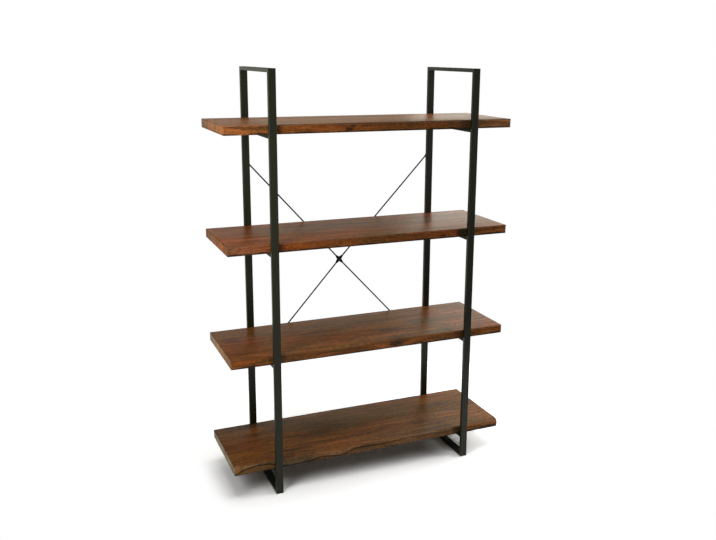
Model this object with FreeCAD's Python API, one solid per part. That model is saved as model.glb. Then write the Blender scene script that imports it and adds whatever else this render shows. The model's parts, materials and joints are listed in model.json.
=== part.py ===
import FreeCAD, Part
import math
import os

from FreeCAD import Vector

# Open shelving unit: four live-edge boards in two welded steel loops, with a crossed brace behind.
# All lengths are millimetres. X runs along the shelves, Y from front to back, Z up from the floor.
# The origin is on the floor, midway between the two side frames and midway through their depth.

# Side frames: closed loops of flat tube, its wide face turned to the front.
frame_height = 1680.0
frame_depth = 412.0
frame_spacing = 844.0
tube_width = 30.0
tube_depth = 15.0
tube_wall = 1.5
tube_corner = 2.0

# Shelf boards, evenly spaced from the bottom one up.
shelf_names = ("bottom_shelf", "lower_middle_shelf", "upper_middle_shelf", "top_shelf")
shelf_length = 1200.0
shelf_thickness = 35.0
bottom_shelf_top = 138.0
top_shelf_drop = 202.5
shelf_post_gap = 2.0
arris_radius = 2.0

# Live edge: a worn bevel runs from the top face down to a ridge, and the bark side leans in below it.
bevel_least_run = 2.0
bevel_slope = 0.5
bark_setback = 3.0
edge_overrun = 20.0

# The ridge, as (percent of the board's length from its left end, percent of its thickness down).
ridge_points = {
    "bottom_shelf": (
        (0, 77), (1.5, 54), (5, 20), (8.5, 10), (11.5, 14), (14, 40), (16.5, 71), (21, 80),
        (25, 71), (31, 49), (34, 63), (37.5, 74), (42, 29), (46, 20), (51.5, 26), (57.5, 23),
        (62.5, 14), (66.5, 9), (74, 14), (78, 26), (82, 11), (87.5, 26), (93.5, 40), (100, 49),
    ),
    "lower_middle_shelf": (
        (0, 11), (10, 9), (21.5, 17), (32.5, 51), (40, 69), (47.5, 49), (53.5, 34), (57.5, 49),
        (62.5, 17), (71.5, 9), (84, 11), (100, 9),
    ),
    "upper_middle_shelf": (
        (0, 14), (11.5, 9), (25, 13), (39, 9), (51.5, 16), (65, 9), (79, 13), (100, 9),
    ),
    "top_shelf": (
        (0, 10), (15, 13), (30, 9), (43.5, 16), (55, 9), (70, 13), (85, 9), (100, 11),
    ),
}

# Crossed brace behind the rear posts: its hub stands a little off the middle of its ends.
brace_top_drop = 378.0
brace_bottom = 382.0
hub_offset = -8.0
hub_rise = 3.0
rod_diameter = 6.0
eye_width = 14.0
eye_neck = 10.0
eye_taper = 14.0

# M6 hardware of the brace.
bolt_diameter = 6.0
bolt_clearance = 0.6
bolt_head_width = 10.0
bolt_head_height = 4.0
bolt_tip = 1.4
washer_width = 18.0
washer_thickness = 1.6
nut_width = 10.0
nut_height = 5.0

# How far a cutting shape runs past the faces it cuts.
cut_overrun = 1.0

# Places that follow from the sizes above.
shelf_pitch = (frame_height - top_shelf_drop - bottom_shelf_top) / (len(shelf_names) - 1)
post_front_face = -frame_depth / 2
post_rear_face = frame_depth / 2
inner_front = post_front_face + tube_depth
inner_rear = post_rear_face - tube_depth
board_front = inner_front + shelf_post_gap
board_rear = inner_rear - shelf_post_gap
brace_top = frame_height - brace_top_drop
hub_height = (brace_top + brace_bottom) / 2 + hub_rise
rod_front = post_rear_face
rod_axis = rod_front + rod_diameter / 2
rod_rear = rod_front + rod_diameter
eye_thickness = rod_diameter / 2
bolt_hole = bolt_diameter + bolt_clearance
frame_places = {"left": -frame_spacing / 2, "right": frame_spacing / 2}


def shelf_top(index):
    """Height of a shelf's top face, counted from the bottom shelf."""
    return bottom_shelf_top + index * shelf_pitch


def flat_face(corners):
    """Flat face with straight sides between the given corners."""
    return Part.Face(Part.makePolygon(corners + corners[:1]))


def rounded_rectangle(width, depth, radius):
    """Closed outline in the XY plane, centred on the origin, with arcs at its corners."""
    half_width = width / 2
    half_depth = depth / 2
    slant = radius * (1 - math.sqrt(0.5))
    edges = []
    corners = ((1, 1), (-1, 1), (-1, -1), (1, -1))
    for number, (side, end) in enumerate(corners):
        across = Vector(side * half_width, end * (half_depth - radius), 0)
        middle = Vector(side * (half_width - slant), end * (half_depth - slant), 0)
        along = Vector(side * (half_width - radius), end * half_depth, 0)
        start, stop = (across, along) if number % 2 == 0 else (along, across)
        if edges:
            edges.append(Part.makeLine(edges[-1].Vertexes[-1].Point, start))
        edges.append(Part.Arc(start, middle, stop).toShape())
    edges.append(Part.makeLine(edges[-1].Vertexes[-1].Point, edges[0].Vertexes[0].Point))
    return Part.Wire(edges)


def upright_tube(length):
    """Hollow flat tube standing on the origin, its wide side along X and its bore square-cornered."""
    outer = Part.Face(rounded_rectangle(tube_width, tube_depth, tube_corner)).extrude(Vector(0, 0, length))
    bore_width = tube_width - 2 * tube_wall
    bore_depth = tube_depth - 2 * tube_wall
    bore = Part.makeBox(bore_width, bore_depth, length, Vector(-bore_width / 2, -bore_depth / 2, 0))
    return outer.cut(bore)


def level_tube(length):
    """The same tube lying along Y, centred on the origin."""
    tube = upright_tube(length)
    tube.rotate(Vector(0, 0, 0), Vector(1, 0, 0), -90)
    tube.translate(Vector(0, -length / 2, 0))
    return tube


def side_prism(corners, centre):
    """Solid wider than a tube with the given (y, z) corners, used to mitre a tube's ends."""
    points = [Vector(centre - tube_width, y, z) for y, z in corners]
    return flat_face(points).extrude(Vector(2 * tube_width, 0, 0))


def frame_post(centre, outer_face, inner_face):
    """Upright of a side frame, mitred at both ends."""
    tube = upright_tube(frame_height)
    tube.translate(Vector(centre, (outer_face + inner_face) / 2, 0))
    corners = (
        (outer_face, 0),
        (outer_face, frame_height),
        (inner_face, frame_height - tube_depth),
        (inner_face, tube_depth),
    )
    return tube.common(side_prism(corners, centre))


def frame_rail(centre, outer_level, inner_level):
    """Top or bottom member of a side frame, mitred at both ends."""
    tube = level_tube(frame_depth)
    tube.translate(Vector(centre, 0, (outer_level + inner_level) / 2))
    corners = (
        (post_front_face, outer_level),
        (post_rear_face, outer_level),
        (inner_rear, inner_level),
        (inner_front, inner_level),
    )
    return tube.common(side_prism(corners, centre))


def shelf_rail(centre, index):
    """Cross member of a side frame, butted between its posts, that a shelf rests on."""
    rail = level_tube(inner_rear - inner_front)
    rail.translate(Vector(centre, 0, shelf_top(index) - shelf_thickness - tube_depth / 2))
    return rail


def cylinder_along_y(diameter, start, length, x, z):
    return Part.makeCylinder(diameter / 2, length, Vector(x, start, z), Vector(0, 1, 0))


def drilled(piece, start, length, x, z):
    """The piece with a bolt hole along Y right through the given span."""
    return piece.cut(cylinder_along_y(bolt_hole, start - cut_overrun, length + 2 * cut_overrun, x, z))


def rear_post(centre):
    """Rear upright with two bolt holes for the brace in its back wall."""
    post = frame_post(centre, post_rear_face, inner_rear)
    for height in (brace_top, brace_bottom):
        post = drilled(post, post_rear_face - tube_wall, tube_wall, centre, height)
    return post


def spline_edge(points):
    curve = Part.BSplineCurve()
    curve.interpolate(points)
    return curve.toShape()


def ridge_stations(name):
    """Places of the ridge as (x, depth below the top face), from past one end to past the other."""
    half_length = shelf_length / 2
    stations = []
    for along, down in ridge_points[name]:
        stations.append((along / 100 * shelf_length - half_length, down / 100 * shelf_thickness))
    before = (-half_length - edge_overrun, stations[0][1])
    after = (half_length + edge_overrun, stations[-1][1])
    return [before] + stations + [after]


def live_profile(name):
    """Solid whose front is the board's live edge; it overruns the board on every other side."""
    above = shelf_thickness + edge_overrun
    behind = board_rear + edge_overrun
    crest = []
    ridge = []
    foot = []
    for x, depth in ridge_stations(name):
        run = bevel_least_run + bevel_slope * depth
        level = shelf_thickness - depth
        crest.append(Vector(x, board_front + run / depth * (above - level), above))
        ridge.append(Vector(x, board_front, level))
        slip = bark_setback * (level + edge_overrun) / level
        foot.append(Vector(x, board_front + slip, -edge_overrun))
    crest_edge, ridge_edge, foot_edge = [spline_edge(line) for line in (crest, ridge, foot)]
    rear_low = [Vector(foot[end].x, behind, -edge_overrun) for end in (0, -1)]
    rear_high = [Vector(crest[end].x, behind, above) for end in (0, -1)]
    faces = [
        Part.makeRuledSurface(crest_edge, ridge_edge),
        Part.makeRuledSurface(ridge_edge, foot_edge),
        flat_face([rear_low[0], rear_low[1], rear_high[1], rear_high[0]]),
    ]
    for edge, line, rear in ((crest_edge, crest, rear_high), (foot_edge, foot, rear_low)):
        route = [line[-1], rear[1], rear[0], line[0]]
        sides = [Part.makeLine(a, b) for a, b in zip(route, route[1:])]
        faces.append(Part.Face(Part.Wire([edge] + sides)))
    for end, number in ((0, 0), (-1, 1)):
        faces.append(flat_face([crest[end], ridge[end], foot[end], rear_low[number], rear_high[number]]))
    shell = Part.makeShell(faces)
    shell.sewShape()
    solid = Part.makeSolid(shell)
    if solid.Volume < 0:
        solid.reverse()
    return solid


def eased_board():
    """Plain board with its long rear arrises and its end arrises rounded."""
    depth = board_rear - board_front
    board = Part.makeBox(shelf_length, depth, shelf_thickness, Vector(-shelf_length / 2, board_front, 0))
    eased = []
    for edge in board.Edges:
        level = abs(edge.Vertexes[0].Z - edge.Vertexes[-1].Z) < arris_radius
        if level and edge.CenterOfMass.y > board_front + arris_radius:
            eased.append(edge)
    return board.makeFillet(arris_radius, eased)


def shelf(index):
    """Live-edge board in its place."""
    board = eased_board().common(live_profile(shelf_names[index]))
    board.translate(Vector(0, 0, shelf_top(index) - shelf_thickness))
    return board


def flat_section(offset, low, high):
    """Four-sided section of a flattened rod, across its length at the given offset."""
    half = eye_width / 2
    outline = ((low, -half), (low, half), (high, half), (high, -half))
    corners = [Vector(offset, y, z) for y, z in outline]
    return Part.makePolygon(corners + corners[:1])


def round_section(offset):
    """Round section of a rod in four arcs that match the corners of its flattened section."""
    radius = rod_diameter / 2
    edges = []
    for angle in (225, 135, 45, -45):
        points = []
        for turn in (angle, angle - 45, angle - 90):
            radians = math.radians(turn)
            points.append(Vector(offset, radius * math.sin(radians), radius * math.cos(radians)))
        edges.append(Part.Arc(*points).toShape())
    return Part.Wire(edges)


def rod_end(low, high):
    """Flattened eye on the origin with the taper that leads to the round rod along +X."""
    disc = Part.makeCylinder(eye_width / 2, high - low, Vector(0, low, 0), Vector(0, 1, 0))
    neck = Part.makeBox(eye_neck, high - low, eye_width, Vector(0, low, -eye_width / 2))
    sections = [flat_section(eye_neck, low, high), round_section(eye_neck + eye_taper)]
    return disc.fuse(neck).fuse(Part.makeLoft(sections, True, True))


def half_rod(start, stop, start_span, stop_span):
    """Rod from one eye to the other in the XZ plane; each span is the eye's reach in Y from the axis."""
    run = stop.sub(start)
    length = run.Length
    plain = eye_neck + eye_taper
    shaft = Part.makeCylinder(rod_diameter / 2, length - 2 * plain, Vector(plain, 0, 0), Vector(1, 0, 0))
    far_end = rod_end(-stop_span[1], -stop_span[0])
    far_end.rotate(Vector(0, 0, 0), Vector(0, 0, 1), 180)
    far_end.translate(Vector(length, 0, 0))
    rod = rod_end(*start_span).fuse(shaft).fuse(far_end)
    rod.rotate(Vector(0, 0, 0), Vector(0, 1, 0), -math.degrees(math.atan2(run.z, run.x)))
    rod.translate(Vector(start.x, rod_axis, start.z))
    return rod


def brace_rod(upper_side, middle_span):
    """Bent bar from an upper end over the hub to the opposite lower end, with three eyes."""
    front_half = (-eye_thickness, 0)
    hub = Vector(hub_offset, 0, hub_height)
    upper = Vector(frame_places[upper_side], 0, brace_top)
    lower_side = "right" if upper_side == "left" else "left"
    lower = Vector(frame_places[lower_side], 0, brace_bottom)
    rod = half_rod(upper, hub, front_half, middle_span)
    rod = rod.fuse(half_rod(hub, lower, middle_span, front_half)).removeSplitter()
    for point in (upper, hub, lower):
        rod = drilled(rod, rod_front, rod_diameter, point.x, point.z)
    return rod


def hexagon(width, length):
    """Hexagonal bar along +Y from the origin, of the given width across its flats."""
    corner_radius = width / math.sqrt(3)
    angles = [math.radians(turn) for turn in range(0, 360, 60)]
    corners = [Vector(corner_radius * math.cos(a), 0, corner_radius * math.sin(a)) for a in angles]
    return flat_face(corners).extrude(Vector(0, length, 0))


def hex_bolt(reach):
    """Hexagon-head bolt along +Y, its head's bearing face on the origin."""
    head = hexagon(bolt_head_width, bolt_head_height)
    head.translate(Vector(0, -bolt_head_height, 0))
    return head.fuse(cylinder_along_y(bolt_diameter, 0, reach, 0, 0))


def hex_nut():
    """Hexagon nut along +Y from the origin."""
    return drilled(hexagon(nut_width, nut_height), 0, nut_height, 0, 0)


def washer():
    """Flat washer along +Y from the origin."""
    return drilled(cylinder_along_y(washer_width, 0, washer_thickness, 0, 0), 0, washer_thickness, 0, 0)


def at_hub(piece, y):
    piece.translate(Vector(hub_offset, y, hub_height))
    return piece


def brace_ends():
    """Places of the brace's four outer eyes, as (x, z)."""
    return [(x, z) for x in frame_places.values() for z in (brace_top, brace_bottom)]


def brace_weld_nuts():
    """Nuts inside the rear posts, against the inner face of their back walls."""
    nuts = []
    for x, z in brace_ends():
        nut = hex_nut()
        nut.translate(Vector(x, post_rear_face - tube_wall - nut_height, z))
        nuts.append(nut)
    return Part.makeCompound(nuts)


def brace_end_bolts():
    """Bolts that hold the brace's outer eyes to the rear posts, their heads at the back."""
    bolts = []
    reach = eye_thickness + tube_wall + nut_height + bolt_tip
    for x, z in brace_ends():
        bolt = hex_bolt(reach)
        bolt.rotate(Vector(0, 0, 0), Vector(0, 0, 1), 180)
        bolt.translate(Vector(x, rod_front + eye_thickness, z))
        bolts.append(bolt)
    return Part.makeCompound(bolts)


def brace_centre_bolt():
    """Bolt that joins the two rods at the hub, its head in front."""
    reach = rod_diameter + 2 * washer_thickness + nut_height + bolt_tip
    return at_hub(hex_bolt(reach), rod_front - washer_thickness)


def brace_centre_washers():
    """Washers before and behind the rods at the hub."""
    return Part.makeCompound([at_hub(washer(), rod_front - washer_thickness), at_hub(washer(), rod_rear)])


def brace_centre_nut():
    return at_hub(hex_nut(), rod_rear + washer_thickness)


def all_pieces():
    """Every node's name and shape."""
    pieces = {}
    for side, centre in frame_places.items():
        pieces[side + "_front_post"] = frame_post(centre, post_front_face, inner_front)
        pieces[side + "_rear_post"] = rear_post(centre)
        pieces[side + "_top_rail"] = frame_rail(centre, frame_height, frame_height - tube_depth)
        pieces[side + "_bottom_rail"] = frame_rail(centre, 0, tube_depth)
        for index, name in enumerate(shelf_names):
            pieces[side + "_" + name + "_rail"] = shelf_rail(centre, index)
    for index, name in enumerate(shelf_names):
        pieces[name] = shelf(index)
    pieces["falling_brace_rod"] = brace_rod("left", (-eye_thickness, 0))
    pieces["rising_brace_rod"] = brace_rod("right", (0, eye_thickness))
    pieces["brace_weld_nuts"] = brace_weld_nuts()
    pieces["brace_end_bolts"] = brace_end_bolts()
    pieces["brace_centre_bolt"] = brace_centre_bolt()
    pieces["brace_centre_washers"] = brace_centre_washers()
    pieces["brace_centre_nut"] = brace_centre_nut()
    return pieces


os.makedirs("parts", exist_ok=True)
for node, shape in all_pieces().items():
    shape.exportStep("parts/" + node + ".step")
    print(node, "solids", len(shape.Solids), "valid", shape.isValid(), "volume", round(shape.Volume))
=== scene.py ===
import json
import math

import bmesh
import bpy
from mathutils import Matrix, Vector, noise


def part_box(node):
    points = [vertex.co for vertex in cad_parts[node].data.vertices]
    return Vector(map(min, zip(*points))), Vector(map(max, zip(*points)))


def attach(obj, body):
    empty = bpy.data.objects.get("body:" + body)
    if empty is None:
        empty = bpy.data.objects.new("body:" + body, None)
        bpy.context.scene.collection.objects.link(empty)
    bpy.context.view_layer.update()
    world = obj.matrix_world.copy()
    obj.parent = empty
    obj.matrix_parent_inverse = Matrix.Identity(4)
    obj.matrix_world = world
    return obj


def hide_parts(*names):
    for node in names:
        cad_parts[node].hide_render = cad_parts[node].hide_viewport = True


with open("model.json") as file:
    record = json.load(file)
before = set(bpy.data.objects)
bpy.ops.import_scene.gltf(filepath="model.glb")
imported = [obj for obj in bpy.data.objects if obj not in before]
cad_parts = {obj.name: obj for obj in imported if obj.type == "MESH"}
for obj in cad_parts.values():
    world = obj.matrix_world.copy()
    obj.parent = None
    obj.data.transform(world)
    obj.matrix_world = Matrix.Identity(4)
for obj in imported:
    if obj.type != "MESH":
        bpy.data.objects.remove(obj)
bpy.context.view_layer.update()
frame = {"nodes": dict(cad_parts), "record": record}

# Metres throughout: X along the shelves, Y from front to back, Z up from the floor.
shelfNames = ("bottom_shelf", "lower_middle_shelf", "upper_middle_shelf", "top_shelf")
sides = ("left", "right")


def camelName(words):
    first, *rest = words.split("_")
    return first + "".join(word.capitalize() for word in rest)


# Shader maths, written as sums on sockets

class Wire:
    def __init__(self, bench, socket):
        self.bench = bench
        self.socket = socket

    def __add__(self, other):
        return self.bench.maths("ADD", self, other)

    def __radd__(self, other):
        return self.bench.maths("ADD", other, self)

    def __sub__(self, other):
        return self.bench.maths("SUBTRACT", self, other)

    def __rsub__(self, other):
        return self.bench.maths("SUBTRACT", other, self)

    def __mul__(self, other):
        return self.bench.maths("MULTIPLY", self, other)

    def __rmul__(self, other):
        return self.bench.maths("MULTIPLY", other, self)

    def __pow__(self, other):
        return self.bench.maths("POWER", self, other)


def paint(value):
    return value if isinstance(value, Wire) else tuple(value) + (1,)


def fillRamp(ramp, stops):
    for index, (position, colour) in enumerate(stops):
        element = ramp.elements[index] if index < 2 else ramp.elements.new(position)
        element.position = position
        element.color = paint(colour)


class Bench:  # the node tree of one material, world or lamp
    def __init__(self, owner):
        owner.use_nodes = True
        self.owner = owner
        self.tree = owner.node_tree
        self.tree.nodes.clear()

    def add(self, kind, settings=None, sockets=None, out=0):
        node = self.tree.nodes.new(kind)
        for name, value in (settings or {}).items():
            if name == "stops":
                fillRamp(node.color_ramp, value)
            else:
                setattr(node, name, value)
        for name, value in (sockets or {}).items():
            if isinstance(value, Wire):
                self.tree.links.new(value.socket, node.inputs[name])
            else:
                node.inputs[name].default_value = value
        return Wire(self, node.outputs[out]) if node.outputs else node

    def maths(self, operation, *values):
        return self.add("ShaderNodeMath", {"operation": operation}, dict(enumerate(values)))

    def least(self, a, b):
        return self.maths("MINIMUM", a, b)

    def most(self, a, b):
        return self.maths("MAXIMUM", a, b)

    def size(self, a):
        return self.maths("ABSOLUTE", a)

    # 0 below the low value, 1 above the high one, smooth between
    def step(self, value, low, high):
        settings = {"interpolation_type": "SMOOTHSTEP"}
        return self.add("ShaderNodeMapRange", settings, {"Value": value, "From Min": low, "From Max": high})

    def blend(self, amount, a, b, way="MIX"):
        settings = {"data_type": "RGBA", "blend_type": way}
        return self.add("ShaderNodeMix", settings, {0: amount, 6: paint(a), 7: paint(b)}, out=2)

    def place(self, scale=(1, 1, 1), offset=(0, 0, 0)):
        here = self.add("ShaderNodeTexCoord", out=3)
        return self.add("ShaderNodeMapping", {}, {0: here, "Location": offset, "Scale": scale})

    def axes(self, vector):
        first = self.add("ShaderNodeSeparateXYZ", {}, {0: vector})
        return [Wire(self, output) for output in first.socket.node.outputs]

    def gather(self, x, y, z):
        return self.add("ShaderNodeCombineXYZ", {}, {0: x, 1: y, 2: z})

    def grain(self, vector, detail=3.0, rough=0.5, scale=1.0):
        values = {"Vector": vector, "Scale": scale, "Detail": detail, "Roughness": rough}
        return self.add("ShaderNodeTexNoise", {}, values)

    def ramp(self, value, stops):
        return self.add("ShaderNodeValToRGB", {"stops": stops}, {0: value})

    def bump(self, height, distance, strength=1.0, under=None):
        values = {"Strength": strength, "Distance": distance, "Height": height}
        if under:
            values["Normal"] = under
        return self.add("ShaderNodeBump", {}, values)

    # Whether a ray comes from the camera, a reflection, a clear surface or a matt one
    def rays(self):
        path = self.add("ShaderNodeLightPath").socket.node.outputs
        kinds = ("Camera", "Glossy", "Transmission", "Diffuse")
        return {kind.lower(): Wire(self, path["Is " + kind + " Ray"]) for kind in kinds}

    def finish(self, shader, output="ShaderNodeOutputMaterial"):
        self.add(output, {}, {"Surface": shader})
        return self.owner


# Wood, stained and satin: growth rings run along the board, round a line inside or under it

woodLook = {
    "dark": (0.066, 0.033, 0.0060),
    "brown": (0.164, 0.060, 0.0085),
    "red": (0.267, 0.086, 0.0115),
    "honey": (0.390, 0.150, 0.0290),
    "olive": (0.140, 0.086, 0.0175),
    # painted highlight of the lit front-left corner
    "sap": (0.480, 0.220, 0.0700),
    "blush": (1.14, 0.90, 0.86),
    "barkTone": (0.110, 0.052, 0.012),
    # dark stain of the knots, also painted shade under the ridge's lip and on the arrises, and the dark
    # foot
    "stain": (0.016, 0.011, 0.005),
    "sealer": (0.060, 0.042, 0.026),
    # dark smudges in the wood; also painted shade beside the right post and along the crest
    "shade": (0.026, 0.020, 0.006),
    "roughness": 0.42,
    "shine": 0.13,
    "polish": 0.32,
}

# Where one face or stretch of a board gives way to the next, from and to
woodZones = {
    "leftOverhang": (-0.47, -0.40),
    "rightOverhang": (0.33, 0.42),
    "grooveShadeFade": (-0.06, 0.24),
    "leftHalf": (-0.1, 0.1),
    "cornerAlong": (-0.590, -0.570),
    "cornerBack": (-0.176, -0.166),
    "sawnEnd": (0.5975, 0.5990),
    "endArris": (0.5955, 0.5972),
    "rightArris": (0.5950, 0.5968),
    "frontFace": (-0.1870, -0.1780),
    "naturalEdge": (-0.1780, -0.1740),
    "rearArris": (0.1790, 0.1840),
    "underside": (0.0004, 0.0012),  # this and the next three: height above the foot
    "endFoot": (0.0030, 0.0070),
    "endTop": (0.0285, 0.0325),
    "rightTop": (0.028, 0.031),
    "bark": (0.0, 0.0025),  # this and the rest: depth below the ridge
    "grooveShadeTop": (-0.0018, 0.0004),
    "grooveShadeFoot": (0.0045, 0.0085),
    "crest": (-0.0020, -0.0004),
}


# Layers of the grain of one board, from its broadest rings to its pores, and its knots
def woodGrain(bench, board, where):
    x, y, z = where
    shift = board["shift"]
    across = y - board["heart"][0]
    up = z - board["heart"][1]
    sway = bench.grain(bench.gather(x * 1.3 + shift, y * 4.0, z * 4.0), 2.0) - 0.5
    wander = bench.grain(bench.gather(x * 6.0 + shift, y * 20.0, z * 20.0), 2.0) - 0.5
    reach = (across * across + up * up) ** 0.5 + sway * 0.080 + wander * 0.012

    # The rings swell round each knot, which is long along the board
    knots = 0.0
    squeeze = 0.4
    for (knotX, knotY, knotZ), size, core in board["knots"]:
        ends = {0: bench.place((squeeze, 1, 1)), 1: (knotX * squeeze, knotY, knotZ)}
        away = bench.add("ShaderNodeVectorMath", {"operation": "DISTANCE"}, ends, out=1)
        reach = reach + (1 - bench.step(away, size * 0.1, size * 2.2)) * size * 0.8
        knots = bench.most((1 - bench.step(away, size * 0.25, size * 0.85)) * core, knots)
    return {
        "broad": bench.grain(bench.gather(x * 2.4 + shift, reach * 24.0, shift), 3.0, 0.55),
        "band": bench.grain(bench.gather(x * 4.5 + shift, reach * 58.0, shift + 4), 3.0, 0.55),
        "streak": bench.grain(bench.gather(x * 7.5 + shift, reach * 130.0, shift), 4.0, 0.60),
        "fibre": bench.grain(bench.gather(x * 24.0, reach * 560.0, shift), 2.0, 0.60),
        "pores": bench.grain(bench.gather(x * 34.0, y * 760.0, z * 760.0), 2.0, 0.6),
        "hue": bench.grain(bench.gather(x * 2.0 + shift, y * 8.0, z * 8.0), 3.0),
        "bark": bench.grain(bench.place((45, 190, 190)), 4.0, 0.6),
        "saw": bench.grain(bench.gather(x, y * 260.0, z * 20.0), 2.0),
        "knots": knots,
    }


# How much of each place belongs to each face and stretch of the board
def woodMasks(bench, board, where, foot):
    x, y, z = where
    ridge = bench.add("ShaderNodeAttribute", {"attribute_name": "fromRidge"}, out=2)

    def past(value, zone):
        return bench.step(value, *woodZones[zone])

    end = past(bench.size(x), "sawnEnd")
    front = (1 - past(y, "frontFace")) * (1 - end)
    edge = 1 - past(y, "naturalEdge")
    below = past(ridge, "bark") * edge
    seam = past(ridge, "grooveShadeTop") * (1 - past(ridge, "grooveShadeFoot")) * edge
    endLines = bench.most(1 - past(z - foot, "endFoot"), past(z - foot, "endTop")) * end
    crestFrom, crestDepth = board["crest"]
    crestAlong = bench.step(x, crestFrom - 0.04, crestFrom + 0.04)
    shadedAt, shadedDepth = board["shaded"]
    return {
        "left": 1 - past(x, "leftOverhang"),
        "right": past(x, "rightOverhang"),
        "end": end,
        "leftEnd": end * (1 - past(x, "leftHalf")),
        "front": front,
        "top": (1 - front) * (1 - end),
        "edge": edge,
        "below": below,
        "seam": seam * (1 - past(x, "grooveShadeFade") * 0.80),
        "crest": (1 - past(ridge, "crest")) * front * crestAlong * crestDepth,
        "shaded": (1 - bench.step(bench.size(x - shadedAt), 0.010, 0.034)) * front * shadedDepth,
        "corner": (1 - past(x, "cornerAlong")) * (1 - past(y, "cornerBack")) * (1 - end) * (1 - below),
        "underside": 1 - past(z - foot, "underside"),
        "rear": past(y, "rearArris"),
        "endArris": past(bench.size(x), "endArris") * (1 - end),
        "rightArris": past(x, "rightArris") * past(z - foot, "rightTop"),
        "endLines": endLines * board["endLines"],
    }


# Rings from dark to honey, drifting in hue, with dark pores and knots
def grainColour(bench, grain):
    figure = grain["broad"] * 0.28 + grain["band"] * 0.38 + grain["streak"] * 0.44 + grain["fibre"] * 0.20
    stops = ((0.38, "dark"), (0.62, "honey"), (0.455, "brown"), (0.52, "red"))
    colour = bench.ramp(figure - 0.15, [(place, woodLook[tone]) for place, tone in stops])
    blush = (1 - bench.step(grain["hue"], 0.36, 0.48)) * 0.8
    colour = bench.blend(blush, colour, woodLook["blush"], "MULTIPLY")
    colour = bench.blend(bench.step(grain["hue"], 0.50, 0.66) * 0.55, colour, woodLook["olive"])
    colour = bench.blend(bench.step(grain["pores"], 0.60, 0.74) * 0.45, colour, woodLook["dark"])
    knots = grain["knots"] * (0.45 + bench.grain(bench.place((40, 130, 130))))
    return bench.blend(bench.least(knots, 0.92), colour, woodLook["stain"])


# The stain went on thicker in smudges; each face and the stretches outside the posts are toned, partly
# stain and partly painted light and shade, and a painted shadow lies beside the right post
def stainAndPaintedLight(bench, board, grain, masks, colour):
    for (centreX, centreY), (longX, wideY), strength in board["smudges"]:
        spot = bench.place((1 / longX, 1 / wideY, 0), (-centreX / longX, -centreY / wideY, 0))
        away = bench.add("ShaderNodeVectorMath", {"operation": "LENGTH"}, {0: spot}, out=1)
        smudge = (1 - bench.step(away + (grain["band"] - 0.5) * 0.9, 0.2, 1.1)) * strength
        colour = bench.blend(smudge, colour, woodLook["shade"])
    top, front = masks["top"], masks["front"]
    faces = {
        "top": top, "topLeft": top * masks["left"], "topRight": top * masks["right"],
        "sawnEnd": masks["leftEnd"],
        "front": front, "frontLeft": front * masks["left"], "frontRight": front * masks["right"],
    }
    # tones per face and beyond the posts: stain colour together with painted light and shade
    for face, mask in faces.items():
        colour = bench.blend(mask, colour, board["tones"][face], "MULTIPLY")
    fleck = bench.grain(bench.place((75, 150, 150)), 3.0, 0.65)
    mottle = bench.grain(bench.place((58, 80, 80)), 3.0, 0.65)
    darker = bench.step(fleck, 0.51, 0.64) * front * 0.62 + bench.step(mottle, 0.51, 0.62) * top * 0.55
    paler = (1 - bench.step(fleck, 0.36, 0.48)) * front * 0.48
    paler = paler + (1 - bench.step(mottle, 0.36, 0.48)) * top * 0.40
    colour = bench.blend(darker, colour, woodLook["dark"])
    colour = bench.blend(paler, colour, woodLook["honey"])
    # painted shadow of the right front post, with darker wood, on the front beside it
    colour = bench.blend(masks["shaded"], colour, woodLook["shade"])
    sawn = bench.step(grain["saw"], 0.50, 0.70) * masks["end"] * 0.35
    return bench.blend(sawn, colour, woodLook["brown"])


# Natural edge: a painted shadow in the groove under the ridge's lip, a darker barked side below it, and a
# ragged dark foot
def edgeColour(bench, board, grain, masks, height, colour):
    bark = masks["below"] * (0.35 + grain["bark"] * 0.7) * board["bark"]
    colour = bench.blend(bark, colour, woodLook["barkTone"])
    # painted shadow of the lip, in the groove under the ridge
    seam = bench.least(masks["seam"] * (0.55 + grain["bark"] * 0.8) * board["seam"], 1.0)
    colour = bench.blend(seam, colour, woodLook["stain"])
    ragged = bench.grain(bench.place((14, 60, 60)), 3.0, 0.6) * 0.018 - 0.0040
    ragged = ragged + masks["right"] * board["footRight"]
    foot = (1 - bench.step(height - ragged, -0.0010, 0.0014)) * masks["edge"]
    foot = foot * (board["foot"] + masks["right"] * (0.92 - board["foot"]))
    colour = bench.blend(foot, colour, woodLook["stain"])
    # painted shade along the crest, from the given x
    colour = bench.blend(masks["crest"], colour, woodLook["shade"])
    # painted highlight on the front-left corner, lit from the left
    return bench.blend(masks["corner"] * board["corner"], colour, woodLook["sap"])


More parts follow.
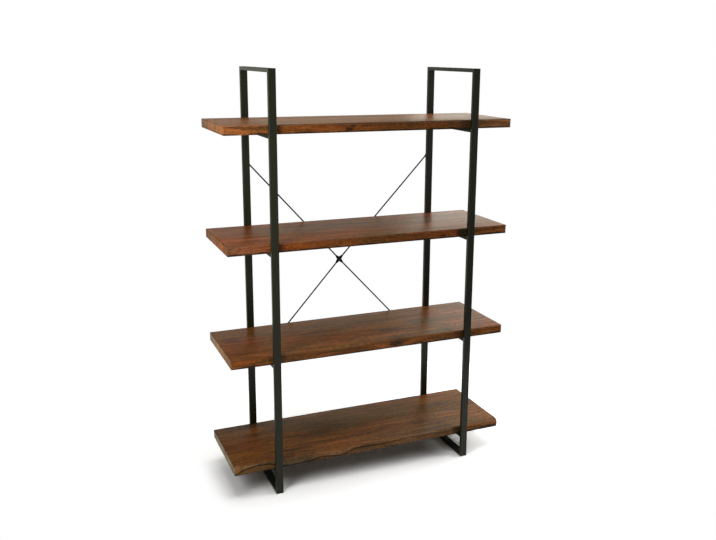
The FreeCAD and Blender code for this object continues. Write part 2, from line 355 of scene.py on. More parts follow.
def stainedWood(name, board, foot):
    bench = Bench(bpy.data.materials.new(name))
    where = bench.axes(bench.place())
    grain = woodGrain(bench, board, where)
    masks = woodMasks(bench, board, where, foot)
    end, below, rear = masks["end"], masks["below"], masks["rear"]
    colour = stainAndPaintedLight(bench, board, grain, masks, grainColour(bench, grain))
    colour = edgeColour(bench, board, grain, masks, where[2] - foot, colour)

    # The underside has only a dark sealer; the rear arris, the end arrises and lines along the ends are
    # darkened, a painted shade
    colour = bench.blend(masks["underside"], colour, woodLook["sealer"])
    arrises = bench.most(rear * 0.85, masks["endArris"] * 0.55)
    ends = bench.most(masks["rightArris"] * 0.80, masks["endLines"])
    colour = bench.blend(bench.most(arrises, ends), colour, woodLook["stain"])

    pores = bench.step(grain["pores"], 0.60, 0.74)
    roughness = woodLook["roughness"] + (grain["streak"] - 0.5) * 0.16 + pores * 0.12 + end * 0.10
    height = grain["streak"] * 0.8 + grain["fibre"] * 0.4 - grain["pores"] * 0.5
    height = height + grain["bark"] * below * 2.2 + grain["saw"] * end * 0.8
    polish = (1 - below) * (1 - rear) * (1 - end * 0.8) * (1 - masks["crest"])
    polish = polish * (1 - masks["left"] * board["dullLeft"])
    polish = polish * (woodLook["polish"] + (grain["broad"] - 0.5) * 0.4)
    shader = bench.add("ShaderNodeBsdfPrincipled", {}, {
        "Base Color": colour, "Roughness": roughness, "Normal": bench.bump(height, 0.0005, 0.5),
        "Specular IOR Level": woodLook["shine"],
        "Coat Weight": polish, "Coat Roughness": woodLook["roughness"],
    })
    return bench.finish(shader)


# Steel, powder coated: fine orange peel, a little paler where the coat thins over an arris

def coatedSteel(name, look):
    bench = Bench(bpy.data.materials.new(name))
    peel = bench.grain(bench.place(), 2.0, scale=look["peelScale"])
    cloud = bench.grain(bench.place((3, 3, 3)))
    dust = bench.step(bench.grain(bench.place(), 1.0, scale=2600.0), 0.66, 0.78)
    colour = bench.blend(cloud, look["dark"], look["pale"])
    colour = bench.blend(dust * 0.35, colour, look["worn"])
    rounded = bench.add("ShaderNodeBevel", {"samples": 4}, {"Radius": 0.0009})
    flat = bench.add("ShaderNodeNewGeometry", out=1)
    facing = bench.add("ShaderNodeVectorMath", {"operation": "DOT_PRODUCT"}, {0: rounded, 1: flat}, out=1)
    worn = 1 - bench.step(facing, 0.80, 0.98)
    colour = bench.blend(worn * 0.6, colour, look["worn"])
    roughness = look["roughness"] + (cloud - 0.5) * 0.12 + (peel - 0.5) * 0.10
    normal = bench.bump(peel, look["peelDepth"], 0.5, rounded)
    shader = bench.add("ShaderNodeBsdfPrincipled", {}, {
        "Base Color": colour, "Roughness": roughness, "Normal": normal,
        "Specular IOR Level": look["shine"], "Specular Tint": (1.0, 1.0, 0.88, 1.0),
    })
    return bench.finish(shader)


def platedSteel(name, look):
    bench = Bench(bpy.data.materials.new(name))
    brushed = bench.grain(bench.place((1, 6, 1)), 3.0, 0.6, scale=700.0)
    spots = bench.step(bench.grain(bench.place(), 2.0, scale=220.0), 0.56, 0.70)
    colour = bench.blend(brushed, look["dark"], look["pale"])
    colour = bench.blend(spots * 0.4, colour, look["tarnish"])
    roughness = look["roughness"] + brushed * 0.14 + spots * 0.10
    shader = bench.add("ShaderNodeBsdfPrincipled", {}, {
        "Base Color": colour, "Roughness": roughness, "Metallic": 1.0,
        "Normal": bench.bump(brushed, 0.0001, 0.4),
    })
    return bench.finish(shader)


steelLooks = {
    "frame_steel": {
        "dark": (0.0095, 0.0105, 0.0045), "pale": (0.0155, 0.0165, 0.0080), "worn": (0.030, 0.031, 0.022),
        "roughness": 0.40, "shine": 0.28, "peelScale": 900.0, "peelDepth": 0.00012,
    },
    "brace_steel": {
        "dark": (0.0030, 0.0030, 0.0030), "pale": (0.0050, 0.0050, 0.0048), "worn": (0.012, 0.012, 0.011),
        "roughness": 0.55, "shine": 0.02, "peelScale": 1400.0, "peelDepth": 0.00008,
    },
    "black_fixings": {
        "dark": (0.0080, 0.0080, 0.0082), "pale": (0.0150, 0.0150, 0.0156), "worn": (0.045, 0.043, 0.040),
        "roughness": 0.32, "shine": 0.45, "peelScale": 2000.0, "peelDepth": 0.00005,
    },
}

# The shelf rails and bottom rails get a duller copy of the frame steel, a painted shade
steelLooks["sheltered"] = {**steelLooks["frame_steel"], "shine": 0.08, "roughness": 0.50}

zincLook = {
    "dark": (0.42, 0.42, 0.40), "pale": (0.62, 0.62, 0.60), "tarnish": (0.30, 0.27, 0.20),
    "roughness": 0.28,
}
finishes = {slot: coatedSteel(camelName(slot), look) for slot, look in steelLooks.items()}
finishes["zinc_fixings"] = platedSteel("zincFixings", zincLook)
print("materials ready")


# Modelling helpers: nothing stays selected from one step to the next

def leaveEditing():
    if bpy.context.object and bpy.context.object.mode != "OBJECT":
        bpy.ops.object.mode_set(mode="OBJECT")


def deselectAll():
    leaveEditing()
    bpy.ops.object.select_all(action="DESELECT")


def makeActive(piece):
    deselectAll()
    piece.select_set(True)
    bpy.context.view_layer.objects.active = piece


def edit(piece, mode="VERT"):
    makeActive(piece)
    bpy.ops.object.mode_set(mode="EDIT")
    bpy.ops.mesh.select_mode(type=mode)
    bpy.ops.mesh.select_all(action="DESELECT")


def middleOf(edge):
    return (edge.verts[0].co + edge.verts[1].co) / 2


def reachOf(edge):
    return edge.verts[1].co - edge.verts[0].co


# In edit mode, selects the vertices, edges or faces that the test accepts
def pick(piece, kind, test):
    mesh = bmesh.from_edit_mesh(piece.data)
    for part in getattr(mesh, kind):
        part.select_set(False)
    mesh.select_flush_mode()
    for part in [part for part in getattr(mesh, kind) if test(part)]:
        part.select_set(True)
    mesh.select_flush_mode()
    bmesh.update_edit_mesh(piece.data)


def settle(piece):
    makeActive(piece)
    bpy.ops.object.transform_apply(location=True, rotation=True, scale=True)


def startCube(name, low, high):
    deselectAll()
    bpy.ops.mesh.primitive_cube_add(size=1, location=(low + high) / 2, scale=high - low)
    piece = bpy.context.object
    piece.name = name
    settle(piece)
    return piece


def startCylinder(name, count, radius, depth, place=(0, 0, 0), turn=(0, 0, 0)):
    deselectAll()
    size = {"vertices": count, "radius": radius, "depth": depth}
    bpy.ops.mesh.primitive_cylinder_add(location=place, rotation=turn, **size)
    piece = bpy.context.object
    piece.name = name
    settle(piece)
    return piece


def applyModifiers(piece):
    makeActive(piece)
    for modifier in list(piece.modifiers):
        bpy.ops.object.modifier_apply(modifier=modifier.name)


def tidyMesh(piece):
    edit(piece)
    bpy.ops.mesh.select_all(action="SELECT")
    bpy.ops.mesh.remove_doubles(threshold=0.00001)
    bpy.ops.mesh.normals_make_consistent(inside=False)
    leaveEditing()


def smooth(piece, degrees):
    makeActive(piece)
    bpy.ops.object.shade_smooth_by_angle(angle=math.radians(degrees))


def dress(piece, material):
    piece.data.materials.clear()
    piece.data.materials.append(material)
    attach(piece, "root")


# Another of the same piece, with its own mesh, moved and turned into place
def copyOf(piece, name, matrix):
    twin = piece.copy()
    twin.data = piece.data.copy()
    twin.name = name
    bpy.context.scene.collection.objects.link(twin)
    twin.data.transform(matrix)
    if matrix.determinant() < 0:
        twin.data.flip_normals()
    return twin


# Live-edge boards

boardShape = {
    "thickness": 0.035,
    "columns": 76,
    "rows": 9,
    "frontReach": 0.004,  # how far behind the front its columns are picked
    "edgeReach": 0.020,  # how far back the natural edge goes
    "arris": 0.0020,
    "ridgeLeast": 0.0022,
    "ridgeMost": 0.88,  # share of the thickness
    "bevelLeast": 0.0022,
    "bevelSlope": 0.62,
    "barkSetback": 0.0030,
    "grooveBelow": 0.0036,
    "grooveDepth": 0.0030,
    "knobSize": 0.016,
    "knobDepth": 0.0024,
    "fibreSize": 0.0050,
    "fibreDepth": 0.0010,
}

# ridge: percent of the length from the left end, and percent of the thickness down from the top
# heart: y and z of the line that the rings run round; shift moves the grain along, so no two boards match
# foot and footRight: how dark the foot of the front is, and how much higher that goes on the right
# shaded: x and strength of a dark patch on the front, darker wood with the painted shadow of the right
# front post; crest: x from where the crest is darkened with painted shade, and how dark
# tones: what the wood is multiplied by, face by face and outside the posts: stain colour and painted light
# and shade
# wobble: height of the ridge's small waves; bark, seam (the groove under the ridge and its painted shadow),
# corner (painted highlight), dullLeft and endLines (painted shade lines): strengths
# knots: centre, size and darkness; smudges: centre, reach along and across, and strength
boards = {
    "bottom_shelf": {
        "ridge": (
            (0, 77), (1.5, 54), (5, 20), (8.5, 10), (11.5, 14), (14, 40), (16.5, 71), (21, 80),
            (25, 71), (31, 49), (34, 63), (37.5, 74), (42, 29), (46, 20), (51.5, 26), (57.5, 23),
            (62.5, 14), (66.5, 9), (74, 14), (78, 26), (82, 11), (87.5, 26), (93.5, 40), (100, 49),
        ),
        "wobble": 0.0014, "heart": (0.300, -0.020), "shift": 3.7,
        "bark": 0.35, "seam": 1.0, "foot": 0.42, "footRight": 0.006, "endLines": 0.65,
        "shaded": (0.396, 0.88), "crest": (-0.70, 0.24), "corner": 0.75, "dullLeft": 0.0,
        "tones": {
            "top": (1.0, 1.0, 0.9), "topLeft": (1.05, 1.0, 0.8), "topRight": (1.40, 1.42, 1.9),
            "front": (1.80, 2.5, 6.8), "frontLeft": (0.73, 0.76, 0.60), "frontRight": (1.61, 0.96, 0.56),
            "sawnEnd": (2.2, 4.4, 14.2),
        },
        "knots": (
            ((0.10, -0.06, 0.138), 0.020, 0.3), ((-0.22, 0.10, 0.138), 0.028, 0.2),
            ((0.43, 0.02, 0.138), 0.016, 0.3),
        ),
        "smudges": (
            ((-0.16, 0.045), (0.15, 0.055), 0.45), ((0.27, -0.085), (0.07, 0.05), 0.35),
            ((0.43, 0.065), (0.05, 0.04), 0.40), ((0.12, -0.13), (0.17, 0.03), 0.38),
            ((0.24, -0.165), (0.19, 0.035), 0.72),
        ),
    },
    "lower_middle_shelf": {
        "ridge": (
            (0, 11), (10, 9), (21.5, 17), (32.5, 51), (40, 69), (47.5, 49), (53.5, 34), (57.5, 49),
            (62.5, 17), (71.5, 9), (84, 11), (100, 9),
        ),
        "wobble": 0.0009, "heart": (-0.330, 0.430), "shift": 11.2,
        "bark": 0.15, "seam": 0.12, "foot": 0.9, "footRight": 0.0, "endLines": 0.50,
        "shaded": (0.393, 0.50), "crest": (-0.70, 0.60), "corner": 0.0, "dullLeft": 0.1,
        "tones": {
            "top": (1.0, 1.0, 0.9), "topLeft": (1.12, 0.84, 0.6), "topRight": (1.52, 1.18, 1.14),
            "front": (1.86, 1.78, 3.1), "frontLeft": (1.36, 1.12, 0.87), "frontRight": (0.88, 0.82, 0.52),
            "sawnEnd": (2.15, 2.85, 5.2),
        },
        "knots": (
            ((0.098, -0.187, 0.566), 0.022, 1.0), ((-0.44, 0.09, 0.5845), 0.016, 0.4),
            ((0.02, -0.08, 0.5845), 0.016, 0.3),
        ),
        "smudges": (
            ((0.12, -0.06), (0.08, 0.06), 0.42), ((-0.54, 0.05), (0.050, 0.05), 0.65),
            ((-0.17, 0.10), (0.11, 0.04), 0.22), ((0.13, -0.165), (0.13, 0.035), 0.60),
        ),
    },
    "upper_middle_shelf": {
        "ridge": ((0, 14), (11.5, 9), (25, 13), (39, 9), (51.5, 16), (65, 9), (79, 13), (100, 9)),
        "wobble": 0.0006, "heart": (0.280, 0.900), "shift": 23.9,
        "bark": 0.08, "seam": 0.10, "foot": 0.9, "footRight": 0.0, "endLines": 0.35,
        "shaded": (0.386, 0.92), "crest": (-0.70, 0.50), "corner": 0.0, "dullLeft": 0.3,
        "tones": {
            "top": (1.2, 0.98, 0.75), "topLeft": (1.08, 0.82, 0.8), "topRight": (1.0, 1.0, 1.0),
            "front": (1.22, 0.86, 1.09), "frontLeft": (0.93, 1.17, 2.55), "frontRight": (0.77, 0.95, 1.00),
            "sawnEnd": (1.20, 0.95, 0.92),
        },
        "knots": (((-0.47, 0.03, 1.031), 0.018, 0.4), ((0.30, -0.187, 1.008), 0.010, 0.8)),
        "smudges": (((-0.24, 0.09), (0.10, 0.06), 0.28), ((0.08, 0.05), (0.07, 0.06), 0.22)),
    },
    "top_shelf": {
        "ridge": ((0, 10), (15, 13), (30, 9), (43.5, 16), (55, 9), (70, 13), (85, 9), (100, 11)),
        "wobble": 0.0006, "heart": (-0.300, 1.360), "shift": 31.4,
        "bark": 0.08, "seam": 0.15, "foot": 0.9, "footRight": 0.0, "endLines": 0.30,
        "shaded": (0.384, 0.58), "crest": (-0.42, 1.0), "corner": 0.0, "dullLeft": 0.45,
        "tones": {
            "top": (0.97, 0.97, 1.1), "topLeft": (1.05, 0.80, 0.6), "topRight": (1.0, 1.0, 1.4),
            "front": (1.10, 0.90, 1.40), "frontLeft": (1.14, 1.20, 1.35), "frontRight": (1.40, 1.90, 2.8),
            "sawnEnd": (1.23, 1.20, 2.10),
        },
        "knots": (
            ((-0.115, -0.187, 1.455), 0.012, 1.0), ((-0.10, -0.187, 1.466), 0.009, 1.0),
            ((0.21, 0.05, 1.4775), 0.022, 0.4),
        ),
        "smudges": (((-0.03, 0.02), (0.06, 0.10), 0.25),),
    },
}


# Smooth value of the ridge's depth at a place along the board, by a cubic through the points beside it
def ridgePercent(points, along):
    stations = [points[0]] + list(points) + [points[-1]]
    index = 1
    while index < len(stations) - 3 and stations[index + 1][0] < along:
        index += 1
    (x0, d0), (x1, d1), (x2, d2), (x3, d3) = stations[index - 1:index + 3]
    span = x2 - x1
    part = (along - x1) / span
    slopeIn = (d2 - d0) / max(x2 - x0, 0.01) * span
    slopeOut = (d3 - d1) / max(x3 - x1, 0.01) * span
    cube, square = part ** 3, part ** 2
    depth = (2 * cube - 3 * square + 1) * d1 + (cube - 2 * square + part) * slopeIn
    depth += (3 * square - 2 * cube) * d2 + (cube - square) * slopeOut
    return min(max(depth, 7), 86)


def ridgeDepth(board, x, low, high):
    thickness = high.z - low.z
    depth = ridgePercent(board["ridge"], (x - low.x) / (high.x - low.x) * 100) / 100 * thickness
    depth += board["wobble"] * noise.noise(Vector((x * 46, board["shift"], 0)))
    depth += board["wobble"] * 0.5 * noise.noise(Vector((x * 120, board["shift"], 3)))
    return min(max(depth, boardShape["ridgeLeast"]), thickness * boardShape["ridgeMost"])


# Where the front's rows lie at one place along the board, as (y, z) from the foot up to the crest
def frontRows(board, x, low, high):
    depth = ridgeDepth(board, x, low, high)
    run = boardShape["bevelLeast"] + boardShape["bevelSlope"] * depth
    run += board["wobble"] * noise.noise(Vector((x * 30, board["shift"], 5)))
    band = high.z - low.z - depth
    setback = boardShape["barkSetback"] * (0.3 + 0.7 * board["seam"])
    groove = boardShape["grooveDepth"] * board["seam"] * min(1, depth / 0.008)
    drop = min(boardShape["grooveBelow"], band * 0.3)
    rows = [(setback * back, low.z + band * up) for back, up in ((1.0, 0), (0.75, 0.25), (0.4, 0.55))]
    rows += [(groove, high.z - depth - drop), (0, high.z - depth)]
    for back, down in ((0.10, 0.66), (0.34, 0.30), (0.70, 0.07), (1.15, 0)):
        rows.append((run * back, high.z - depth * down))
    return [(low.y + y, z) for y, z in rows]


# Draws each column of the front out to its rows
def moveFront(piece, board, low, high):
    stands = {}
    for vertex in bmesh.from_edit_mesh(piece.data).verts:
        if vertex.co.y < low.y + boardShape["frontReach"]:
            stands.setdefault(round(vertex.co.x, 5), []).append((vertex.co.z, vertex.index))
    for x, members in sorted(stands.items()):
        levels = []
        for z, index in sorted(members):
            if not levels or z - levels[-1][0] > 0.0022:
                levels.append((z, set()))
            levels[-1][1].add(index)
        for (level, chosen), (newY, newZ) in zip(levels, frontRows(board, x, low, high)):
            pick(piece, "verts", lambda vertex: vertex.index in chosen)
            bpy.ops.transform.translate(value=(0, newY - low.y, newZ - level))


# Knobs and fibres, cut inwards only: full below the ridge, slight on the bevel and least on the ridge
def roughenEdge(piece, board, low, high):
    bark = piece.vertex_groups.new(name="bark")
    for vertex in piece.data.vertices:
        x, y, z = vertex.co
        if y < low.y + boardShape["edgeReach"] and z < high.z - 0.0005:
            below = high.z - ridgeDepth(board, x, low, high) - z
            weight = 1.0 if below > 0.0015 else 0.15 if below > -0.0005 else 0.30
            bark.add([vertex.index], weight, "REPLACE")
    stretch = bpy.data.objects.new("stretch", None)
    bpy.context.scene.collection.objects.link(stretch)
    stretch.scale = (3.2, 1, 1)
    stretch.location = (board["shift"], 0, 0)
    for label in ("knob", "fibre"):
        clouds = bpy.data.textures.new(label, "CLOUDS")
        clouds.noise_scale = boardShape[label + "Size"]
        clouds.noise_depth = 3
        displace = piece.modifiers.new(label, "DISPLACE")
        displace.texture = clouds
        displace.texture_coords = "OBJECT"
        displace.texture_coords_object = stretch
        displace.vertex_group = "bark"
        displace.direction = "Y"
        displace.mid_level = 0
        displace.strength = boardShape[label + "Depth"]
    bpy.context.view_layer.update()
    applyModifiers(piece)
    bpy.data.objects.remove(stretch)


def shapeBoard(node, board):
    low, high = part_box(node)
    high.z = low.z + boardShape["thickness"]
    piece = startCube(camelName(node) + "Board", low, high)
    front = low.y

    # Round the rear and end arrises first, while the block has few edges
    edit(piece, "EDGE")
    pick(piece, "edges", lambda edge: middleOf(edge).y > front + 0.01
         or abs(middleOf(edge).x) > high.x - 0.01)
    bpy.ops.mesh.bevel(offset=boardShape["arris"], segments=2, profile=0.5, affect="EDGES")
    pick(piece, "edges", lambda edge: abs(reachOf(edge).x) > 1)
    bpy.ops.mesh.subdivide(number_cuts=boardShape["columns"] - 1)
    pick(piece, "edges", lambda edge: abs(reachOf(edge).z) > 0.02
         and max(corner.co.y for corner in edge.verts) < front + boardShape["frontReach"])
    bpy.ops.mesh.subdivide(number_cuts=boardShape["rows"] - 2)
    moveFront(piece, board, low, high)

    # Finer faces on the natural edge, for its knobs and fibres
    pick(piece, "faces", lambda face: face.calc_center_median().y < front + boardShape["edgeReach"]
         and face.normal.y < 0 and abs(face.normal.x) < 0.5 and abs(face.normal.z) < 0.98)
    bpy.ops.mesh.subdivide(number_cuts=2)
    leaveEditing()
    roughenEdge(piece, board, low, high)

    # How far each corner lies below the ridge, for the finish
    fromRidge = piece.data.attributes.new("fromRidge", "FLOAT", "POINT")
    for vertex in piece.data.vertices:
        x, y, z = vertex.co
        fromRidge.data[vertex.index].value = high.z - ridgeDepth(board, x, low, high) - z
    smooth(piece, 40)
    return piece


for node in shelfNames:
    piece = shapeBoard(node, boards[node])
    dress(piece, stainedWood(camelName(node) + "Wood", boards[node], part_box(node)[0].z))
    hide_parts(node)
print("boards ready")


# Bolts, nut and washers of the brace, all along Y

def along(x, y, z):
    return Matrix.Translation((x, y, z))


turnBack = Matrix.Rotation(math.pi, 4, "Z")
uprightToY = (math.radians(90), 0, 0)

fixingSizes = {
    "acrossFlats": 0.010, "headHeight": 0.004, "nutHeight": 0.005, "chamfer": 0.0009,
    "threadRadius": 0.0030, "threadRoot": 0.0025, "pitch": 0.0010,
    "washerRadius": 0.0090, "washerHole": 0.0032, "washerThickness": 0.0016,
    "endShank": 0.0109, "centreShank": 0.0156,
}
bracePlaces = {
    "ends": [(x, z) for x in (-0.422, 0.422) for z in (1.302, 0.382)],
    "endSeat": 0.209, "hub": (-0.008, 0.845), "frontSeat": 0.2044, "rearSeat": 0.2120,
}


def combine(piece, tool, operation):
    modifier = piece.modifiers.new("combine", "BOOLEAN")
    modifier.operation = operation
    modifier.solver = "EXACT"
    modifier.object = tool
    applyModifiers(piece)
    bpy.data.objects.remove(tool)


def joinPieces(name, pieces):
    if len(pieces) == 1:
        pieces[0].name = name
        return pieces[0]
    deselectAll()
    for piece in pieces:
        piece.select_set(True)
    bpy.context.view_layer.objects.active = pieces[0]
    bpy.ops.object.join()
    piece = bpy.context.object
    piece.name = name
    return piece


# Hexagon from y = 0 to its height, with the corners turned off at its outer end, or at both
def hexagonPiece(name, height, bothEnds):
    acrossCorners = fixingSizes["acrossFlats"] / math.cos(math.radians(30))
    chamfer = fixingSizes["chamfer"]
    piece = startCylinder(name, 6, acrossCorners / 2, height, (0, height / 2, 0), uprightToY)
    starts = chamfer if bothEnds else 0
    middle = height - chamfer - starts
    centre = (0, starts + middle / 2, 0)
    tool = startCylinder(name + "Turning", 48, acrossCorners / 2, middle, centre, uprightToY)
    edit(tool, "FACE")
    for end in (1, -1) if bothEnds else (1,):
        pick(tool, "faces", lambda face: face.normal.y * end > 0.9)
        bpy.ops.mesh.extrude_region_move(TRANSFORM_OT_translate={"value": (0, end * chamfer, 0)})
        bpy.ops.transform.resize(value=(0.83, 1, 0.83), center_override=(0, 0, 0))
    combine(piece, tool, "INTERSECT")
    return piece


# Threaded shank from y = 0 to its length, with a ring of crest and root for each turn
def shankPiece(name, length):
    turns = int(length / fixingSizes["pitch"])
    piece = startCylinder(name, 20, fixingSizes["threadRadius"], length, (0, length / 2, 0), uprightToY)
    edit(piece, "EDGE")
    pick(piece, "edges", lambda edge: abs(reachOf(edge).y) > length / 2)
    bpy.ops.mesh.subdivide(number_cuts=2 * turns - 1)
    spacing = length / (2 * turns)
    pick(piece, "verts", lambda vertex: round(vertex.co.y / spacing) % 2 == 0)
    narrow = fixingSizes["threadRoot"] / fixingSizes["threadRadius"]
    bpy.ops.transform.resize(value=(narrow, 1, narrow), center_override=(0, 0, 0))
    leaveEditing()
    return piece


def boltPiece(name, shankLength):
    head = hexagonPiece(name, fixingSizes["headHeight"], False)
    shank = shankPiece(name + "Shank", shankLength)
    shank.data.transform(turnBack)
    return joinPieces(name, [head, shank])


def washerPiece(name):
    radius, thickness = fixingSizes["washerRadius"], fixingSizes["washerThickness"]
    piece = startCylinder(name, 48, radius, thickness, (0, thickness / 2, 0), uprightToY)
    edit(piece, "FACE")
    pick(piece, "faces", lambda face: abs(face.normal.y) > 0.9)
    bpy.ops.mesh.inset(thickness=radius - fixingSizes["washerHole"], use_individual=True)
    bpy.ops.mesh.bridge_edge_loops()
    pick(piece, "edges", lambda edge: abs(reachOf(edge).y) < 0.0001
         and min(corner.co.xz.length for corner in edge.verts) > radius * 0.98)
    bpy.ops.mesh.bevel(offset=0.0002, segments=2, affect="EDGES")
    tidyMesh(piece)
    smooth(piece, 30)
    return piece


def finishFixing(name, pieces, node):
    piece = joinPieces(name, pieces)
    smooth(piece, 25)
    dress(piece, finishes["black_fixings"])
    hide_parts(node)


hubX, hubZ = bracePlaces["hub"]
endBolt = boltPiece("endBolt", fixingSizes["endShank"])
endBolts = []
for index, (x, z) in enumerate(bracePlaces["ends"]):
    place = along(x, bracePlaces["endSeat"], z) @ Matrix.Rotation(math.radians(17 + 41 * index), 4, "Y")
    endBolts.append(copyOf(endBolt, "endBolt" + str(index), place))
bpy.data.objects.remove(endBolt)
finishFixing("braceEndBolts", endBolts, "brace_end_bolts")

centreBolt = boltPiece("braceCentreBolt", fixingSizes["centreShank"])
frontSeat = along(hubX, bracePlaces["frontSeat"], hubZ)
centreBolt.data.transform(frontSeat @ Matrix.Rotation(math.radians(12), 4, "Y") @ turnBack)
finishFixing("braceCentreBolt", [centreBolt], "brace_centre_bolt")

washer = washerPiece("washer")
frontWasher = copyOf(washer, "frontWasher", frontSeat)
rearWasher = copyOf(washer, "rearWasher", along(hubX, bracePlaces["rearSeat"], hubZ))
bpy.data.objects.remove(washer)
finishFixing("braceCentreWashers", [frontWasher, rearWasher], "brace_centre_washers")

nut = hexagonPiece("braceCentreNut", fixingSizes["nutHeight"], True)
bore = startCylinder("bore", 32, fixingSizes["threadRadius"] * 1.03, 0.02, (0, 0.0025, 0), uprightToY)
combine(nut, bore, "DIFFERENCE")
nutSeat = along(hubX, bracePlaces["rearSeat"] + fixingSizes["washerThickness"], hubZ)
nut.data.transform(nutSeat @ Matrix.Rotation(math.radians(35), 4, "Y"))
finishFixing("braceCentreNut", [nut], "brace_centre_nut")
print("brace fixings ready")


# Screws through each shelf rail into its board: only their heads show, under the rail

screwSizes = {
    "headRadius": 0.0048, "headHeight": 0.0026, "socketWidth": 0.0040, "socketDepth": 0.0017,
    "spots": [(x, y) for x in (-0.422, 0.422) for y in (-0.125, 0.125)],
}


def screwHead(name):
    radius, height = screwSizes["headRadius"], screwSizes["headHeight"]
    piece = startCylinder(name, 32, radius, height, (0, 0, -height / 2))
    edit(piece, "EDGE")
    pick(piece, "edges", lambda edge: max(corner.co.z for corner in edge.verts) < -height * 0.9)
    bpy.ops.mesh.bevel(offset=height * 0.62, segments=4, profile=0.55, affect="EDGES")
    leaveEditing()
    corner = screwSizes["socketWidth"] / 2 / math.cos(math.radians(30))
    socket = startCylinder(name + "Socket", 6, corner, screwSizes["socketDepth"] * 2, (0, 0, -height))
    combine(piece, socket, "DIFFERENCE")
    return piece


screw = screwHead("screwHead")
for shelf in shelfNames:
    heads = []
    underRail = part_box("left_" + shelf + "_rail")[0].z
    for x, y in screwSizes["spots"]:
        place = along(x, y, underRail) @ Matrix.Rotation(x * 3 + y * 19, 4, "Z")
        heads.append(copyOf(screw, "head" + str(len(heads)), place))
    piece = joinPieces(camelName(shelf) + "ScrewHeads", heads)
    smooth(piece, 35)
    dress(piece, finishes["black_fixings"])
bpy.data.objects.remove(screw)
print("screw heads ready")


# Weld beads: quarter-round fillets with the ripples of the welder's hand, coated over like the tubes

beadSizes = {"leg": 0.0030, "length": 0.0270, "ripples": 11, "swell": 1.16, "dip": 0.94, "taper": 0.45}


# Fillet along X in the corner below and behind the origin: its two flat faces lie on z = 0 and y = 0
def weldBead(name):
    leg, length = beadSizes["leg"], beadSizes["length"]
    piece = startCylinder(name, 24, leg, length, (0, 0, 0), (0, math.radians(90), 0))
    edit(piece)
    for normal in ((0, 0, 1), (0, -1, 0)):
        bpy.ops.mesh.select_all(action="SELECT")
        bpy.ops.mesh.bisect(plane_co=(0, 0, 0), plane_no=normal, use_fill=True, clear_outer=True)
    pick(piece, "edges", lambda edge: abs(reachOf(edge).x) > length / 2)
    bpy.ops.mesh.subdivide(number_cuts=2 * beadSizes["ripples"] - 1)
    spacing = length / (2 * beadSizes["ripples"])
    for odd, factor in ((1, beadSizes["swell"]), (0, beadSizes["dip"])):
        pick(piece, "verts", lambda vertex: round((vertex.co.x + length / 2) / spacing) % 2 == odd)
        bpy.ops.transform.resize(value=(1, factor, factor), center_override=(0, 0, 0))
    pick(piece, "verts", lambda vertex: abs(vertex.co.x) > length / 2 - 0.0001)
    taper = beadSizes["taper"]
    bpy.ops.transform.resize(value=(1, taper, taper), center_override=(0, 0, 0))
    tidyMesh(piece)
    smooth(piece, 50)
    return piece


bead = weldBead("bead")
for side in sides:
    beads = []
    x = sum(corner.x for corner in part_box(side + "_front_post")) / 2
    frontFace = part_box(side + "_front_post")[1].y
    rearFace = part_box(side + "_rear_post")[0].y
    corners = [(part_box(side + "_" + shelf + "_rail")[0].z, 1) for shelf in shelfNames]
    corners += [(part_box(side + "_top_rail")[0].z, 1), (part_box(side + "_bottom_rail")[1].z, -1)]
    for z, below in corners:
        for y, inward in ((frontFace, 1), (rearFace, -1)):
            place = along(x, y, z) @ Matrix.Diagonal((1, inward, below, 1))
            beads.append(copyOf(bead, "bead" + str(len(beads)), place))
    piece = joinPieces(side + "WeldBeads", beads)
    smooth(piece, 50)
    dress(piece, finishes["frame_steel"])
bpy.data.objects.remove(bead)
print("weld beads ready")


# The solids' own finishes: the boards have theirs already
slots = {part["node"]: part["material_slot"] for part in frame["record"]["subparts"]}
for name, node in frame["nodes"].items():
    # shelf rails and bottom rails take the duller copy, a painted shade
    slot = "sheltered" if name.endswith(("shelf_rail", "bottom_rail")) else slots[name]
    if slot in finishes:
        node.data.materials.clear()
        node.data.materials.append(finishes[slot])
print("steel dressed")


# Floor, background and lights

stageLook = {
    "floorSize": 9.0,
    "floorColour": 0.75,  # what light bounces from, up under the boards
    "seenColour": 2.38,  # what the camera sees, so the open floor is white
    "mirrorColour": 1.98,  # what reflections see
    "white": (1.15, 1.55),  # how far out the floor turns to plain white
    "shadowEnd": (0.60, 0.69),  # how far left the shadow is seen
    "aside": (0.8, 1.5),  # the floor far to the right is darker in reflections
    "asideColour": 0.08,
    "backdropGlow": 1.00,
    "roomGlow": 0.68,
    "ambient": 0.016,
    "warmth": (1.0, 0.985, 0.87),  # colour of the room in reflections and shadows
}

lights = {
    "softTop": {"place": (0.1, -0.2, 3.4), "aim": (0, 0, 0), "size": (2.8, 2.4), "power": 42.9},
    "rightSide": {"place": (2.6, 0.2, 1.5), "aim": (0.2, 0, 0.4), "size": (1.4, 1.4), "power": 23.5},
    "backHigh": {"place": (0.2, 2.4, 2.8), "aim": (0, 0, 0.6), "size": (2.0, 1.0), "power": 5.7},
    "backRightNear": {"place": (1.6, 1.8, 1.7), "aim": (0.2, 0, 0.9), "size": (0.9, 0.9), "power": 4.3},
    "leftSide": {"place": (-2.4, 0.3, 1.3), "aim": (0, 0, 0.9), "size": (1.0, 1.6), "power": 1.1},
    "nearLeft": {"place": (-1.3, -0.9, 1.2), "aim": (-0.4, 0, 1.0), "size": (0.5, 0.8), "power": 5.1},
    "leftEnds": {"place": (-1.2, -0.75, 1.6), "aim": (-0.75, 0, 1.4), "size": (0.4, 0.5), "power": 3.8},
    "nearRight": {"place": (1.5, -0.7, 1.3), "aim": (0.4, -0.1, 1.0), "size": (0.5, 0.9), "power": 4.2},
    "rearPanel": {"place": (1.52, 1.5, 0.9), "aim": (0.4, 0, 0.4), "size": (0.8, 0.7), "power": 1.0},
}
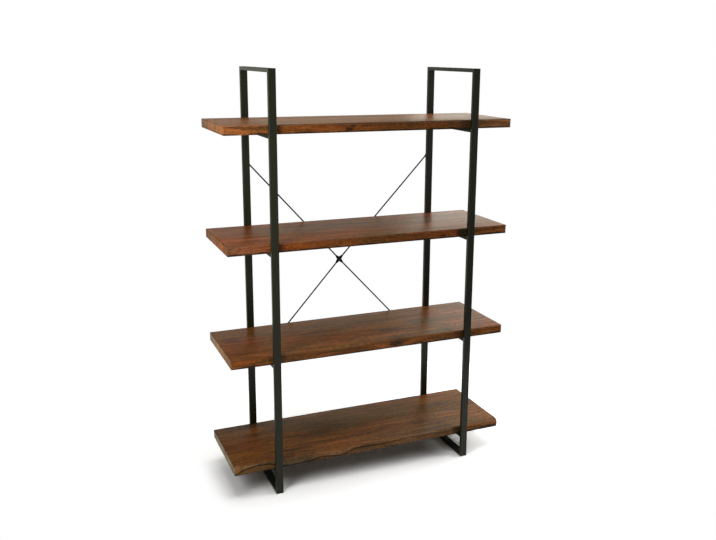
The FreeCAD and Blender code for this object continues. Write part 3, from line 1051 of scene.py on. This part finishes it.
for name in ("backHigh", "backRightNear", "rearPanel"):
    lights[name]["colour"] = stageLook["warmth"]
lights["leftEnds"]["spread"] = 90


def makeFloor():
    deselectAll()
    bpy.ops.mesh.primitive_plane_add(size=stageLook["floorSize"], location=(0, 0, 0))
    floor = bpy.context.object
    floor.name = "floor"
    bench = Bench(bpy.data.materials.new("floorSweep"))
    ray = bench.rays()
    seen = bench.most(bench.most(ray["camera"], ray["glossy"]), ray["transmission"])
    x, y = bench.axes(bench.place())[:2]
    away = (x * x * 0.75 + y * y * 1.5) ** 0.5
    colour = bench.blend(ray["glossy"], (stageLook["floorColour"],) * 3, (stageLook["mirrorColour"],) * 3)
    colour = bench.blend(ray["camera"], colour, (stageLook["seenColour"],) * 3)
    matt = bench.add("ShaderNodeBsdfDiffuse", {}, {"Color": colour})
    aside = bench.step(x, *stageLook["aside"]) * ray["glossy"]
    plain = bench.blend(aside, (1, 1, 1), (stageLook["asideColour"],) * 3)
    white = bench.add("ShaderNodeEmission", {}, {"Color": plain, "Strength": 1.0})
    beside = bench.step(0 - x, *stageLook["shadowEnd"]) * ray["camera"]
    far = bench.most(bench.step(away, *stageLook["white"]) * seen, beside)
    shader = bench.add("ShaderNodeMixShader", {}, {0: far, 1: matt, 2: white})
    floor.data.materials.append(bench.finish(shader))


# White to the camera; in reflections a low white backdrop stands behind, and the room in front is dimmer
def makeWorld():
    world = bpy.data.worlds.new("studio")
    bpy.context.scene.world = world
    bench = Bench(world)
    ray = bench.rays()
    y, z = bench.axes(bench.add("ShaderNodeTexCoord"))[1:]
    low = 1 - bench.step(bench.size(z), 0.06, 0.20)
    behind = bench.step(y, -0.2, 0.2)
    mirrored = low * behind * stageLook["backdropGlow"] + (1 - low) * (1 - behind) * stageLook["roomGlow"]
    seen = bench.most(ray["camera"], ray["transmission"])
    strength = bench.most(seen, ray["glossy"] * mirrored) + ray["diffuse"] * stageLook["ambient"]
    colour = bench.blend(seen, stageLook["warmth"], (1, 1, 1))
    shader = bench.add("ShaderNodeBackground", {}, {"Color": colour, "Strength": strength})
    bench.finish(shader, "ShaderNodeOutputWorld")


def makeLight(name, light):
    lamp = bpy.data.lights.new(name, "AREA")
    lamp.shape = "RECTANGLE"
    lamp.size, lamp.size_y = light["size"]
    lamp.energy = light["power"]
    lamp.spread = math.radians(light.get("spread", 180))
    lamp.color = light.get("colour", (1, 1, 1))
    holder = bpy.data.objects.new(name, lamp)
    bpy.context.scene.collection.objects.link(holder)
    holder.location = light["place"]
    towards = Vector(light["aim"]) - Vector(light["place"])
    holder.rotation_euler = towards.to_track_quat("-Z", "Y").to_euler()
    holder.visible_camera = False


makeFloor()
makeWorld()
for name, light in lights.items():
    makeLight(name, light)
print("stage ready")


# Camera

cameraLook = {
    "place": (-1.27948, -3.13437, 1.73308),
    "yaw": -23.596, "pitch": -13.537, "roll": 0.552,
    "lens": 41.61, "shiftX": -0.02818, "shiftY": -0.02352,
}
camera = bpy.data.cameras.new("camera")
camera.lens = cameraLook["lens"]
camera.sensor_width = 36
camera.shift_x = cameraLook["shiftX"]
camera.shift_y = cameraLook["shiftY"]
holder = bpy.data.objects.new("camera", camera)
bpy.context.scene.collection.objects.link(holder)
turn = Matrix.Rotation(math.radians(cameraLook["yaw"]), 4, "Z")
turn = turn @ Matrix.Rotation(math.radians(90 + cameraLook["pitch"]), 4, "X")
turn = turn @ Matrix.Rotation(math.radians(cameraLook["roll"]), 4, "Z")
holder.matrix_world = Matrix.Translation(cameraLook["place"]) @ turn
bpy.context.scene.camera = holder
bpy.context.scene.view_settings.view_transform = "Standard"
